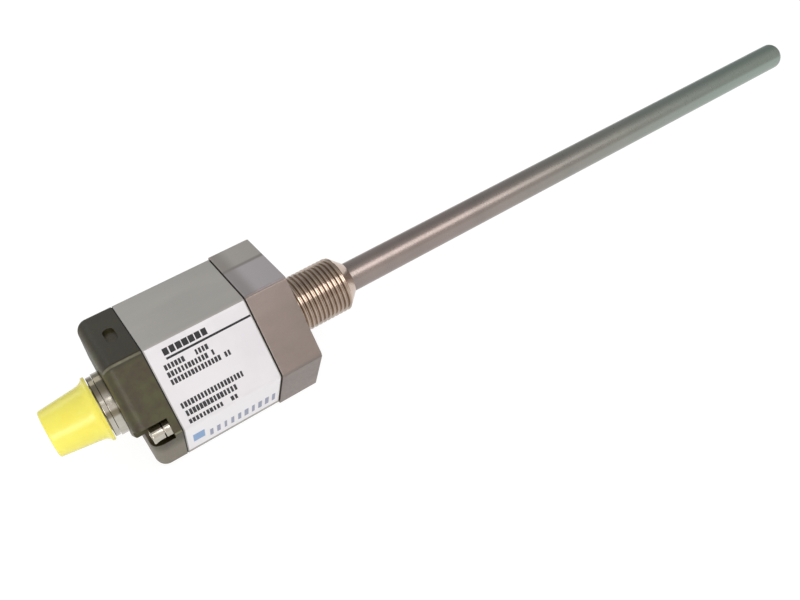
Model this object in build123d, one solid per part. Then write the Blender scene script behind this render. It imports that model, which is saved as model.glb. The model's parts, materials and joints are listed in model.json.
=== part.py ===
from build123d import *
import os
from math import cos, sin, radians, sqrt

# Rod-type position sensor. X runs along the rod to its tip, Z is up, and the
# origin is on the rod's axis in the plane of the flange's mounting face.

# Housing profile
HOUSING_AF = 45.0
HOUSING_LEN = 32.05
HOUSING_WALL = 3.0
HOUSING_CORNER_REACH = HOUSING_AF / sqrt(3)
HOUSING_INNER_REACH = (HOUSING_AF - 2 * HOUSING_WALL) / sqrt(3)
CORNER_R = 2.0
SCREW_LUG_R = 3.6
GASKET_T = 0.4
GASKET_INSET = 0.25

# Hexagon flange and its threaded stem
FLANGE_RIM = 0.5
FLANGE_AF = HOUSING_AF + 2 * FLANGE_RIM
FLANGE_CORNER_CUT = 0.716
FLANGE_CORNER_D = FLANGE_AF * 2 / sqrt(3) - FLANGE_CORNER_CUT
FLANGE_T = 13.8
THREAD_D = 19.05
THREAD_LEN = 21.0
STEM_CONE_LEN = 4.0
STEM_NOSE_R = 5.7
COIL_POCKET_R = 12.0
COIL_POCKET_DEPTH = 6.5

# Rod
ROD_LEN = 242.0
ROD_D = 10.2
ROD_WALL = 2.0
TIP_PLUG_LEN = 5.0
TIP_SPIGOT_LEN = 6.0
TIP_ROUND = 2.4

# End cap
CAP_LEN = 11.8
CAP_WALL = 2.6
CAP_RIM_R = 3.5
CAP_LOW_STEP = 2.75
LOW_SIDE_TURN = -49.0
LAND_EDGE_ROUND = 0.7
NOTCH_R = 3.5
NOTCH_TURN = 30.0
NOTCH_FLOOR_T = 2.2
RECESS_LEN = 7.0
RECESS_W = 3.4
RECESS_DEPTH = 1.0

# Cover screws
SCREW_CORNER_GAP = 4.4
SCREW_AXIS_R = HOUSING_CORNER_REACH - SCREW_CORNER_GAP
SCREW_D = 3.0
SCREW_HEAD_D = 5.4
SCREW_HEAD_H = 3.6
SCREW_SOCKET_AF = 2.5
SCREW_SOCKET_DEPTH = 1.6
COLLAR_D = 5.5
COLLAR_H = 2.0
SCREW_NECK = 0.3
SCREW_IN_FLANGE = 8.0
SCREW_HOLE_SPARE = 1.0
HOLE_SLACK = 0.15
SIZE_TOL = 0.01

# Connector
SHELL_THREAD_D = 16.0
SHELL_THREAD_LEN = 4.0
SHELL_REAR_STEP = 0.5
SHELL_REAR_D = SHELL_THREAD_D - 2 * SHELL_REAR_STEP
SHELL_REAR_LEN = 7.2
SHELL_WALL = 0.8
SHELL_BORE_D = SHELL_REAR_D - 2 * SHELL_WALL
SECOND_RING_W = 1.9
SECOND_RING_D = SHELL_THREAD_D + 2 * SECOND_RING_W
SECOND_RING_T = 1.55
FLANGE_RING_STEP = 0.4
FLANGE_RING_D = SECOND_RING_D + 2 * FLANGE_RING_STEP
FLANGE_RING_T = 2.5
RING_GAP = 0.15
NUT_WALL = 1.0
NUT_AF = SHELL_REAR_D + 2 * NUT_WALL
NUT_T = 2.4
SEAL_W = 1.3
SEAL_GROOVE_LIP = 0.2
SEAL_IN_R = SHELL_THREAD_D / 2 + SEAL_GROOVE_LIP
SEAL_OUT_R = SEAL_IN_R + SEAL_W
SEAL_T = 0.9
INSERT_T = 5.5
INSERT_SETBACK = 3.4
PIN_D = 1.0
PIN_EDGE_GAP = 2.4
PIN_CIRCLE_R = SHELL_BORE_D / 2 - PIN_EDGE_GAP
PIN_COUNT_ON_CIRCLE = 7
PIN_STEP_DEG = 45.0
PIN_FRONT = 3.0
PIN_TAIL = 0.6

# Room round the nut inside the cap, and the raised land that covers it
NUT_CLEARANCE = 0.385
CAP_POCKET_R = NUT_AF / sqrt(3) + NUT_CLEARANCE
LAND_REACH = CAP_POCKET_R + CAP_WALL

# Dust cap
DUST_RIM_LIP = 0.7
DUST_RIM_R = SECOND_RING_D / 2 + DUST_RIM_LIP
DUST_RIM_T = 0.9
DUST_FLARE_LEN = 2.8
DUST_WALL = 0.85
DUST_BODY_R = SHELL_THREAD_D / 2 + DUST_WALL
DUST_TAPER = 1.35
DUST_END_R = DUST_BODY_R - DUST_TAPER
DUST_LEN = 15.8
DUST_STEP_WALL = 0.95
DUST_END_T = 1.2
DUST_END_ROUND = 0.7
DUST_GRIP_SLACK = 0.06
DUST_SEAT_GAP = 0.3

# Electronics
CAN_R = 7.0
BOARD_T = 1.6
BOARD_UNDER_CAN = 1.7
BOARD_Z = -CAN_R - BOARD_UNDER_CAN - BOARD_T / 2
BOARD_SIDE_GAP = 2.53
BOARD_HALF_W = HOUSING_INNER_REACH + BOARD_Z / sqrt(3) - BOARD_SIDE_GAP
BOARD_END_GAP = 1.0
SLOT_SLACK = 0.05
RAIL_LIP = 1.1
RAIL_T = 1.5
RAIL_ROOT = 1.0
END_BOARD_HALF_W = 9.0
END_BOARD_TOP = 8.5
END_BOARD_STANDOFF = 1.0
END_BOARD_CORNER_R = 1.5
LINK_PIN_W = 0.6
LINK_PIN_PITCH = 2.0
LINK_PIN_COUNT = 8
LINK_PIN_RISE = 1.4
LINK_PIN_REACH = 3.0

# Chips on the main board, each as its offset along X, its offset along Y as a share
# of the board's half width, then length, width and height
CHIPS = [
    (-5.0, 0.0, 7.0, 7.0, 1.4),
    (-5.5, 0.62, 5.0, 4.0, 1.4),
    (-5.5, -0.62, 4.0, 5.0, 1.4),
    (5.5, 0.56, 4.0, 5.0, 1.2),
    (5.5, -0.56, 6.0, 4.0, 1.2),
    (1.0, -0.45, 2.0, 1.25, 0.9),
    (1.0, 0.45, 2.0, 1.25, 0.9),
]

# Sensing element
CAN_LEN = 16.0
CAN_WALL = 0.7
CAN_SLACK = 0.05
BOBBIN_LEN = 9.0
BOBBIN_CORE_R = 2.0
BOBBIN_CHEEK_T = 1.2
COIL_OUT_R = 5.4
WAVEGUIDE_R = 0.4
WIRE_SLACK = 0.05
SLEEVE_R = 2.2
SLEEVE_BORE_R = 1.0
DAMPER_LEN = 46.0
DAMPER_GAP = 1.0
WAVEGUIDE_TO_PLUG = 3.0
RETURN_WIRE_R = 0.3
RETURN_WIRE_Z = -2.65
RETURN_BEND_R = 1.2
ANCHOR_R = 4.0
COIL_PIN_R = 0.3
COIL_PIN_Y = 2.0
COIL_PIN_TOP_Z = -3.0
COIL_PIN_HOLE_R = 0.9
CAN_SLOT_DEPTH = 3.0

# Label
LABEL_T = 0.12
LABEL_END_GAP = 0.3
LABEL_WRAP_DEG = 233.0
LABEL_START_DEG = 120.6

# Stations along X, from the mounting face back to the cap's end
X_FLANGE_BACK = -FLANGE_T
X_HOUSING_FRONT = X_FLANGE_BACK - GASKET_T
X_HOUSING_BACK = X_HOUSING_FRONT - HOUSING_LEN
X_CAP_FRONT = X_HOUSING_BACK - GASKET_T
X_CAP_END = X_CAP_FRONT - CAP_LEN
X_CAP_LOW = X_CAP_END + CAP_LOW_STEP
X_CAP_INNER = X_CAP_END + CAP_WALL
X_CAP_SHOULDER = X_CAP_LOW + CAP_WALL
X_NOTCH_FLOOR = X_CAP_FRONT - NOTCH_FLOOR_T
X_POCKET_FLOOR = X_FLANGE_BACK + COIL_POCKET_DEPTH
X_RING_END = X_CAP_END - FLANGE_RING_T
X_SECOND_RING_END = X_RING_END - RING_GAP - SECOND_RING_T
X_SHELL_END = X_SECOND_RING_END - SHELL_THREAD_LEN
X_SHELL_REAR = X_CAP_END + SHELL_REAR_LEN
X_INSERT_FRONT = X_SHELL_END + INSERT_SETBACK
X_INSERT_REAR = X_INSERT_FRONT + INSERT_T
X_END_BOARD = X_SHELL_REAR + END_BOARD_STANDOFF
X_DUST_MOUTH = X_SECOND_RING_END - DUST_SEAT_GAP
X_CAN_END = X_POCKET_FLOOR - CAN_LEN
X_BOBBIN_END = X_POCKET_FLOOR - BOBBIN_LEN
X_SPIGOT = ROD_LEN - TIP_PLUG_LEN - TIP_SPIGOT_LEN
X_WAVEGUIDE_END = X_SPIGOT - WAVEGUIDE_TO_PLUG
X_DAMPER = X_WAVEGUIDE_END - DAMPER_GAP - DAMPER_LEN
X_SLEEVE_END = X_DAMPER - DAMPER_GAP


def cross_plane(x, y=0.0, z=0.0):
    """A plane across the sensor at station x, with its own X along Y and its own Y up."""
    return Plane(origin=(x, y, z), x_dir=(0, 1, 0), z_dir=(1, 0, 0))


def rod_between(x0, x1, radius, y=0.0, z=0.0):
    """A round bar along X."""
    return extrude(cross_plane(x0, y, z) * Circle(radius), amount=x1 - x0)


def ring_between(x0, x1, outer_r, inner_r):
    """A tube along X."""
    return extrude(cross_plane(x0) * (Circle(outer_r) - Circle(inner_r)), amount=x1 - x0)


def turned(points):
    """A solid of revolution about X, from its half section as (x, radius) points."""
    return revolve(make_face(Polyline(*points, close=True)), Axis.X)


def hexagon(across_flats, corner_r=0.0):
    """A hexagon section with a flat on top and corners at plus and minus Y."""
    section = RegularPolygon(across_flats / 2, 6, major_radius=False)
    if corner_r > 0:
        section = fillet(section.vertices(), corner_r)
    return section


def hex_bar(x0, x1, across_flats, corner_r=0.0):
    """A hexagon bar along X."""
    return extrude(cross_plane(x0) * hexagon(across_flats, corner_r), amount=x1 - x0)


def screw_places():
    """The two cover screws sit in opposite corners, with the notch direction of each."""
    return [(-SCREW_AXIS_R, 0.0, 180.0 - NOTCH_TURN), (SCREW_AXIS_R, 0.0, NOTCH_TURN)]


def screw_holes(x0, x1, radius):
    """Both screw holes as one cutting tool."""
    return Compound([rod_between(x0, x1, radius, y, z) for y, z, _ in screw_places()])


def make_hex_flange():
    """Flange, threaded stem and cone, turned from one hexagon bar."""
    body = hex_bar(X_FLANGE_BACK, 0.0, FLANGE_AF)
    body &= rod_between(X_FLANGE_BACK, 0.0, FLANGE_CORNER_D / 2)
    stem_end = THREAD_LEN + STEM_CONE_LEN
    stem = turned([
        (0.0, 0.0),
        (0.0, THREAD_D / 2),
        (THREAD_LEN, THREAD_D / 2),
        (stem_end, STEM_NOSE_R),
        (stem_end, 0.0),
    ])
    body += stem
    body -= rod_between(X_FLANGE_BACK, X_POCKET_FLOOR, COIL_POCKET_R)
    body -= rod_between(X_POCKET_FLOOR, stem_end, ROD_D / 2)
    thread_hole_r = SCREW_D / 2 + WIRE_SLACK
    hole_end = X_FLANGE_BACK + SCREW_IN_FLANGE + SCREW_HOLE_SPARE
    body -= screw_holes(X_FLANGE_BACK, hole_end, thread_hole_r)
    return body


def make_probe_tube():
    """The rod's tube, welded into the flange and open to the coil pocket."""
    return ring_between(X_POCKET_FLOOR, ROD_LEN - TIP_PLUG_LEN, ROD_D / 2, ROD_D / 2 - ROD_WALL)


def make_probe_tip():
    """Rounded end plug with a spigot inside the tube."""
    head = rod_between(ROD_LEN - TIP_PLUG_LEN, ROD_LEN, ROD_D / 2)
    head = fillet(head.faces().sort_by(Axis.X)[-1].edges(), TIP_ROUND)
    spigot_r = ROD_D / 2 - ROD_WALL - WIRE_SLACK
    return head + rod_between(X_SPIGOT, ROD_LEN - TIP_PLUG_LEN, spigot_r)


def make_waveguide():
    """The sensing wire, from its anchor to the far end of the damper."""
    return rod_between(X_CAN_END + CAN_WALL, X_WAVEGUIDE_END, WAVEGUIDE_R)


def make_waveguide_sleeve():
    """Plastic sleeve round the wire."""
    return ring_between(X_POCKET_FLOOR, X_SLEEVE_END, SLEEVE_R, SLEEVE_BORE_R)


def make_damping_element():
    """Soft damper that swallows the pulse at the far end."""
    return ring_between(X_DAMPER, X_DAMPER + DAMPER_LEN, SLEEVE_R, WAVEGUIDE_R + WIRE_SLACK)


def make_return_wire():
    """Copper wire beside the sleeve, bent up to the wire's far end."""
    end_x = X_WAVEGUIDE_END - RETURN_WIRE_R
    corner = (end_x, 0.0, RETURN_WIRE_Z)
    start = (X_POCKET_FLOOR, 0.0, RETURN_WIRE_Z)
    top = (end_x, 0.0, -WAVEGUIDE_R - WIRE_SLACK)
    path = FilletPolyline(start, corner, top, radius=RETURN_BEND_R)
    return sweep(cross_plane(X_POCKET_FLOOR, 0.0, RETURN_WIRE_Z) * Circle(RETURN_WIRE_R), path=path)


def make_coil_bobbin():
    """Bobbin with two cheeks, seated on the flange's pocket floor inside the can."""
    x0, x1 = X_BOBBIN_END, X_POCKET_FLOOR
    cheek_r = CAN_R - CAN_WALL - CAN_SLACK
    body = rod_between(x0, x1, BOBBIN_CORE_R)
    body += rod_between(x0, x0 + BOBBIN_CHEEK_T, cheek_r)
    body += rod_between(x1 - BOBBIN_CHEEK_T, x1, cheek_r)
    body -= rod_between(x0, x1, WAVEGUIDE_R + WIRE_SLACK)
    body -= coil_pin_tool(COIL_PIN_R + WIRE_SLACK)
    return body


def make_pickup_coil():
    """The winding between the cheeks."""
    x0, x1 = X_BOBBIN_END + BOBBIN_CHEEK_T, X_POCKET_FLOOR - BOBBIN_CHEEK_T
    return ring_between(x0, x1, COIL_OUT_R, BOBBIN_CORE_R)


def coil_pin_x():
    """Station of the coil's two terminal pins, in the rear cheek."""
    return X_BOBBIN_END + BOBBIN_CHEEK_T / 2


def coil_pin_tool(radius):
    """Both terminal pins as upright bars from the cheek down to the board."""
    board_top = BOARD_Z + BOARD_T / 2
    pin_len = COIL_PIN_TOP_Z - board_top
    bars = []
    for side in (-1, 1):
        base = Plane(origin=(coil_pin_x(), side * COIL_PIN_Y, board_top))
        bars.append(extrude(base * Circle(radius), amount=pin_len))
    return Compound(bars)


def make_coil_pins():
    """Terminal pins of the winding."""
    return coil_pin_tool(COIL_PIN_R)


def make_coil_shield():
    """Drawn can over the coil, with a slot below for the terminal pins."""
    inner_r = CAN_R - CAN_WALL
    can = rod_between(X_CAN_END, X_POCKET_FLOOR, CAN_R)
    can = fillet(can.faces().sort_by(Axis.X)[0].edges(), CAN_WALL)
    can -= rod_between(X_CAN_END + CAN_WALL, X_POCKET_FLOOR, inner_r)
    slot_base = Plane(origin=(coil_pin_x(), 0.0, -CAN_R - 1.0))
    slot = slot_base * SlotCenterToCenter(2 * COIL_PIN_Y, 2 * COIL_PIN_HOLE_R, rotation=90)
    return can - extrude(slot, amount=CAN_SLOT_DEPTH)


def make_waveguide_anchor():
    """Brass block that clamps the wire between the bobbin and the can's end."""
    return ring_between(X_CAN_END + CAN_WALL, X_BOBBIN_END, ANCHOR_R, WAVEGUIDE_R + WIRE_SLACK)


def housing_section():
    """The extrusion's section: hexagon wall, two screw lugs and two board rails."""
    section = hexagon(HOUSING_AF, CORNER_R) - hexagon(HOUSING_AF - 2 * HOUSING_WALL)
    for y, z, _ in screw_places():
        section += Pos(y, z) * Circle(SCREW_LUG_R)
    slot_h = BOARD_T + 2 * SLOT_SLACK
    rail_y0 = BOARD_HALF_W - RAIL_LIP
    rail_y1 = HOUSING_INNER_REACH + BOARD_Z / sqrt(3) + RAIL_ROOT
    rail_h = slot_h + 2 * RAIL_T
    for side in (-1, 1):
        rail = Pos(side * (rail_y0 + rail_y1) / 2, BOARD_Z) * Rectangle(rail_y1 - rail_y0, rail_h)
        section += rail
    section -= Pos(0, BOARD_Z) * Rectangle(2 * (BOARD_HALF_W + SLOT_SLACK), slot_h)
    for y, z, _ in screw_places():
        section -= Pos(y, z) * Circle(SCREW_D / 2 + HOLE_SLACK)
    return section


def make_housing_profile():
    """Extruded aluminium housing."""
    return extrude(cross_plane(X_HOUSING_BACK) * housing_section(), amount=HOUSING_LEN)


def make_gasket(x0):
    """A thin frame seal that follows the housing's wall."""
    frame = hexagon(HOUSING_AF - 2 * GASKET_INSET, CORNER_R)
    frame -= hexagon(HOUSING_AF - 2 * HOUSING_WALL)
    for y, z, _ in screw_places():
        frame += Pos(y, z) * Circle(SCREW_LUG_R - GASKET_INSET)
    for y, z, _ in screw_places():
        frame -= Pos(y, z) * Circle(SCREW_D / 2 + HOLE_SLACK)
    return extrude(cross_plane(x0) * frame, amount=GASKET_T)


def notch_section(y, z, turn):
    """The screw notch: a round seat that opens through the side in one direction."""
    reach = HOUSING_AF / 2
    slot = Pos(reach / 2, 0) * Rectangle(reach, 2 * NOTCH_R)
    return Pos(y, z) * Rot(0, 0, turn) * (slot + Circle(NOTCH_R))


def rimmed_prism(x_end):
    """The cap's hexagon block up to one of its two levels, with a rounded rim."""
    block = hex_bar(x_end, X_CAP_FRONT, HOUSING_AF, CORNER_R)
    return fillet(block.faces().sort_by(Axis.X)[0].edges(), CAP_RIM_R)


def beside_land(turn):
    """Everything past one straight edge of the raised land, towards a screw."""
    size = 2 * HOUSING_AF
    region = Rot(0, 0, turn) * Pos(LAND_REACH + size / 2, 0) * Rectangle(size, size)
    return extrude(cross_plane(X_CAP_END) * region, amount=CAP_LEN)


def land_edges(body):
    """The straight edges of the raised land, between its flat and the two steps."""
    flat = body.faces().sort_by(Axis.X)[0]
    straight = flat.edges().filter_by(GeomType.LINE)
    edges = []
    for turn in (LOW_SIDE_TURN, 180.0 - LOW_SIDE_TURN):
        way = Vector(0, cos(radians(turn)), sin(radians(turn)))
        edges += [edge for edge in straight if abs((edge @ 0.5).dot(way) - LAND_REACH) < SIZE_TOL]
    return edges


def make_end_cap():
    """Die-cast cap: rounded rim, lowered screw corners, screw notches and hollow inside."""
    land = rimmed_prism(X_CAP_END)
    for turn in (LOW_SIDE_TURN, 180.0 - LOW_SIDE_TURN):
        land -= beside_land(turn)
    land = fillet(land_edges(land), LAND_EDGE_ROUND)
    body = rimmed_prism(X_CAP_LOW) + land
    for y, z, turn in screw_places():
        tool = extrude(cross_plane(X_CAP_END) * notch_section(y, z, turn), amount=X_NOTCH_FLOOR - X_CAP_END)
        body -= tool
    hollow = hexagon(HOUSING_AF - 2 * HOUSING_WALL, CORNER_R)
    for y, z, turn in screw_places():
        hollow -= Pos(y, z) * Circle(NOTCH_R + CAP_WALL / 2)
    body -= extrude(cross_plane(X_CAP_SHOULDER) * hollow, amount=X_CAP_FRONT - X_CAP_SHOULDER)
    body -= rod_between(X_CAP_INNER, X_CAP_SHOULDER, CAP_POCKET_R)
    body -= rod_between(X_CAP_END, X_CAP_INNER, SHELL_REAR_D / 2 + HOLE_SLACK)
    body -= screw_holes(X_CAP_END, X_CAP_FRONT, SCREW_D / 2 + HOLE_SLACK)
    recess_x = (X_CAP_LOW + X_CAP_FRONT) / 2
    recess_base = Plane(origin=(recess_x, 0.0, HOUSING_AF / 2 - RECESS_DEPTH))
    recess = recess_base * SlotOverall(RECESS_LEN, RECESS_W, rotation=90)
    return body - extrude(recess, amount=2 * RECESS_DEPTH)


def make_cover_screws():
    """Two long cap screws, through the cap and housing into the flange."""
    head_x1 = X_NOTCH_FLOOR - COLLAR_H - SCREW_NECK
    head_x0 = head_x1 - SCREW_HEAD_H
    screws = []
    for y, z, _ in screw_places():
        head = rod_between(head_x0, head_x1, SCREW_HEAD_D / 2, y, z)
        head = chamfer(head.faces().sort_by(Axis.X)[0].edges(), SCREW_NECK)
        socket = cross_plane(head_x0, y, z) * RegularPolygon(SCREW_SOCKET_AF / 2, 6, major_radius=False)
        head -= extrude(socket, amount=SCREW_SOCKET_DEPTH)
        shank = rod_between(head_x1, X_FLANGE_BACK + SCREW_IN_FLANGE, SCREW_D / 2, y, z)
        screws.append(head + shank)
    return Compound(screws)


def make_screw_collars():
    """Collars between each screw head and its seat."""
    collars = []
    for y, z, _ in screw_places():
        plane = cross_plane(X_NOTCH_FLOOR - COLLAR_H, y, z)
        ring = Circle(COLLAR_D / 2) - Circle(SCREW_D / 2 + WIRE_SLACK)
        collars.append(extrude(plane * ring, amount=COLLAR_H))
    return Compound(collars)


def make_connector_shell():
    """Plated connector shell: flange ring, front thread and a rear that passes the cap."""
    bore_r = SHELL_BORE_D / 2
    shell = turned([
        (X_SHELL_REAR, bore_r),
        (X_SHELL_REAR, SHELL_REAR_D / 2),
        (X_CAP_END, SHELL_REAR_D / 2),
        (X_CAP_END, SEAL_IN_R),
        (X_CAP_END - SEAL_T, SEAL_IN_R),
        (X_CAP_END - SEAL_T, SEAL_OUT_R),
        (X_CAP_END, SEAL_OUT_R),
        (X_CAP_END, FLANGE_RING_D / 2),
        (X_RING_END, FLANGE_RING_D / 2),
        (X_RING_END, SHELL_THREAD_D / 2),
        (X_SHELL_END, SHELL_THREAD_D / 2),
        (X_SHELL_END, bore_r),
    ])
    rim = shell.edges().filter_by(GeomType.CIRCLE).group_by(Axis.X)[0].sort_by(SortBy.RADIUS)[-1]
    return chamfer(rim, SCREW_NECK)


def make_connector_ring():
    """The second ring, screwed on the shell in front of the flange ring."""
    x1 = X_RING_END - RING_GAP
    ring = ring_between(X_SECOND_RING_END, x1, SECOND_RING_D / 2, SHELL_THREAD_D / 2 + WIRE_SLACK)
    rim = ring.faces().sort_by(Axis.X)[0].edges().sort_by(SortBy.RADIUS)[-1]
    return fillet(rim, SCREW_NECK)


def make_connector_seal():
    """Squeezed O-ring in the flange ring's groove."""
    return ring_between(X_CAP_END - SEAL_T, X_CAP_END, SEAL_OUT_R - WIRE_SLACK, SEAL_IN_R + WIRE_SLACK)


def make_connector_nut():
    """Hexagon nut inside the cap."""
    nut = hex_bar(X_CAP_INNER, X_CAP_INNER + NUT_T, NUT_AF)
    return nut - rod_between(X_CAP_INNER, X_CAP_INNER + NUT_T, SHELL_REAR_D / 2 + WIRE_SLACK)


def pin_spots():
    """Seven pins on an open circle and one in the middle, as (y, z)."""
    first = 90.0 - PIN_STEP_DEG * (PIN_COUNT_ON_CIRCLE - 1) / 2
    turns = [radians(first + PIN_STEP_DEG * i) for i in range(PIN_COUNT_ON_CIRCLE)]
    return [(PIN_CIRCLE_R * cos(a), PIN_CIRCLE_R * sin(a)) for a in turns] + [(0.0, 0.0)]


def pin_bars(x0, x1, radius):
    """The connector's pins as one group of bars."""
    return Compound([rod_between(x0, x1, radius, y, z) for y, z in pin_spots()])


def make_connector_insert():
    """Black carrier that holds the pins in the shell."""
    insert = rod_between(X_INSERT_FRONT, X_INSERT_REAR, SHELL_BORE_D / 2 - WIRE_SLACK)
    return insert - pin_bars(X_INSERT_FRONT, X_INSERT_REAR, PIN_D / 2 + WIRE_SLACK)


def make_connector_pins():
    """Contact pins, soldered through the end board."""
    x0, x1 = X_INSERT_FRONT - PIN_FRONT, X_END_BOARD + BOARD_T + PIN_TAIL
    return pin_bars(x0, x1, PIN_D / 2)


def make_connector_board():
    """Small upright board behind the connector."""
    bottom = BOARD_Z - BOARD_T / 2
    height = END_BOARD_TOP - bottom
    outline = Pos(0, (END_BOARD_TOP + bottom) / 2) * Rectangle(2 * END_BOARD_HALF_W, height)
    outline = fillet(outline.vertices(), END_BOARD_CORNER_R)
    board = extrude(cross_plane(X_END_BOARD) * outline, amount=BOARD_T)
    return board - pin_bars(X_END_BOARD, X_END_BOARD + BOARD_T, PIN_D / 2 + WIRE_SLACK)


def make_circuit_board():
    """Main board in the housing's rails."""
    x0, x1 = X_HOUSING_BACK + BOARD_END_GAP, X_HOUSING_FRONT - BOARD_END_GAP
    plane = Plane(origin=((x0 + x1) / 2, 0.0, BOARD_Z - BOARD_T / 2))
    return extrude(plane * Rectangle(x1 - x0, 2 * BOARD_HALF_W), amount=BOARD_T)


def make_link_pins():
    """Bent square pins from the end board to the main board."""
    x0 = X_END_BOARD + BOARD_T
    x1 = X_HOUSING_BACK + BOARD_END_GAP + LINK_PIN_REACH
    board_top = BOARD_Z + BOARD_T / 2
    z = board_top + LINK_PIN_RISE
    pins = []
    for i in range(LINK_PIN_COUNT):
        y = (i - (LINK_PIN_COUNT - 1) / 2) * LINK_PIN_PITCH
        level = Pos((x0 + x1) / 2, y, z) * Box(x1 - x0, LINK_PIN_W, LINK_PIN_W)
        foot_x = x1 - LINK_PIN_W / 2
        foot = Pos(foot_x, y, (board_top + z) / 2) * Box(LINK_PIN_W, LINK_PIN_W, z - board_top)
        pins.append(level + foot)
    return Compound(pins)


def make_board_components():
    """Chips and capacitors on the main board, as one group."""
    board_top = BOARD_Z + BOARD_T / 2
    x_mid = (X_HOUSING_BACK + X_HOUSING_FRONT) / 2
    group = []
    for dx, share, length, width, height in CHIPS:
        place = Pos(x_mid + dx, share * BOARD_HALF_W, board_top + height / 2)
        group.append(place * Box(length, width, height))
    return Compound(group)


def label_section():
    """Film on the side face and round the corner below it, between two directions."""
    film = hexagon(HOUSING_AF + 2 * LABEL_T, CORNER_R + LABEL_T) - hexagon(HOUSING_AF, CORNER_R)
    reach = 2 * HOUSING_AF
    start, end = radians(LABEL_START_DEG), radians(LABEL_WRAP_DEG)
    middle = (start + end) / 2
    turns = (start, middle, end)
    fan = [(0.0, 0.0)] + [(reach * cos(a), reach * sin(a)) for a in turns]
    return film & make_face(Polyline(*fan, close=True))


def make_label():
    """The label as a thin film."""
    x0 = X_HOUSING_BACK + LABEL_END_GAP
    return extrude(cross_plane(x0) * label_section(), amount=HOUSING_LEN - 2 * LABEL_END_GAP)


def make_dust_cap():
    """Soft push-on cap: flared rim, tapered body and a closed, slightly rounded end."""
    mouth = X_DUST_MOUTH
    end = mouth - DUST_LEN
    flare_x = mouth - DUST_RIM_T - DUST_FLARE_LEN
    grip_r = SHELL_THREAD_D / 2 + DUST_GRIP_SLACK
    step_x = X_SHELL_END - DUST_SEAT_GAP
    end_inner = end + DUST_END_T
    taper = (DUST_BODY_R - DUST_END_R) / (end - flare_x)
    step_r = DUST_BODY_R + taper * (flare_x - step_x) - DUST_STEP_WALL
    outline = [
        Line((mouth, grip_r), (mouth, DUST_RIM_R)),
        Line((mouth, DUST_RIM_R), (mouth - DUST_RIM_T, DUST_RIM_R)),
        Spline(
            (mouth - DUST_RIM_T, DUST_RIM_R),
            (flare_x, DUST_BODY_R),
            tangents=[(-0.35, -1.0), (end - flare_x, DUST_END_R - DUST_BODY_R)],
        ),
        Line((flare_x, DUST_BODY_R), (end, DUST_END_R)),
        Line((end, DUST_END_R), (end, 0.0)),
        Line((end, 0.0), (end_inner, 0.0)),
        Line((end_inner, 0.0), (end_inner, DUST_END_R - DUST_STEP_WALL)),
        Line((end_inner, DUST_END_R - DUST_STEP_WALL), (step_x, step_r)),
        Line((step_x, step_r), (step_x, grip_r)),
        Line((step_x, grip_r), (mouth, grip_r)),
    ]
    cap = revolve(make_face(outline), Axis.X)
    rim = cap.edges().filter_by(GeomType.CIRCLE).group_by(Axis.X)[0].sort_by(SortBy.RADIUS)[-1]
    return fillet(rim, DUST_END_ROUND)


PIECES = {
    "hex_flange": make_hex_flange,
    "probe_tube": make_probe_tube,
    "probe_tip": make_probe_tip,
    "waveguide": make_waveguide,
    "waveguide_sleeve": make_waveguide_sleeve,
    "damping_element": make_damping_element,
    "return_wire": make_return_wire,
    "coil_bobbin": make_coil_bobbin,
    "pickup_coil": make_pickup_coil,
    "coil_pins": make_coil_pins,
    "coil_shield": make_coil_shield,
    "waveguide_anchor": make_waveguide_anchor,
    "housing_profile": make_housing_profile,
    "flange_gasket": lambda: make_gasket(X_HOUSING_FRONT),
    "cap_gasket": lambda: make_gasket(X_CAP_FRONT),
    "end_cap": make_end_cap,
    "cover_screws": make_cover_screws,
    "screw_collars": make_screw_collars,
    "connector_shell": make_connector_shell,
    "connector_ring": make_connector_ring,
    "connector_seal": make_connector_seal,
    "connector_nut": make_connector_nut,
    "connector_insert": make_connector_insert,
    "connector_pins": make_connector_pins,
    "connector_board": make_connector_board,
    "circuit_board": make_circuit_board,
    "link_pins": make_link_pins,
    "board_components": make_board_components,
    "label": make_label,
    "dust_cap": make_dust_cap,
}

os.makedirs("parts", exist_ok=True)
for node, make in PIECES.items():
    shape = make()
    export_step(shape, f"parts/{node}.step")
    print(node, round(shape.volume, 1))
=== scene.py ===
# %% [markdown]
# # Dressing a rod-type position sensor
# The sensor screws into the end of a hydraulic cylinder. Its head holds the electronics, its
# steel rod reaches down the cylinder, and a yellow cap keeps dust out of its round connector.
# The shapes come from a CAD model that is already packed. This lesson loads that model, sets
# up the photograph's camera and light, and then makes the surfaces and the small forms, such
# as the screw thread, that make the thing look real.

# %% Load the fixed frame
import json
from math import cos, pi, radians
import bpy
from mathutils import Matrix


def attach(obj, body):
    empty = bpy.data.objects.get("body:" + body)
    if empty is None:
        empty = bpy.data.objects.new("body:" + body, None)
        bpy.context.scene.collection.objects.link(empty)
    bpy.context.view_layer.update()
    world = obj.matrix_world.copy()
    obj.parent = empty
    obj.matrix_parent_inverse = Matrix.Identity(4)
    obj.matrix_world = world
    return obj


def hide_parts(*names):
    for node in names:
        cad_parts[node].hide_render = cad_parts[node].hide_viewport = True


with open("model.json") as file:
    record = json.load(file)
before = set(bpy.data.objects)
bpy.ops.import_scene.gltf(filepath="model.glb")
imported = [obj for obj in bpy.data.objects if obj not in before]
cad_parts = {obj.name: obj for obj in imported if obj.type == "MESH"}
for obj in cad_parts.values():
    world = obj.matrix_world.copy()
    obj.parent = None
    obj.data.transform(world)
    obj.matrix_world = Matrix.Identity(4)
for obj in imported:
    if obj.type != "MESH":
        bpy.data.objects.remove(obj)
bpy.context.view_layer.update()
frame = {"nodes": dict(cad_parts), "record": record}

from types import SimpleNamespace

import bmesh
import bpy
from mathutils import Matrix, Vector

MM = 0.001
nodes = frame["nodes"]
subparts = frame["record"]["subparts"]

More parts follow.
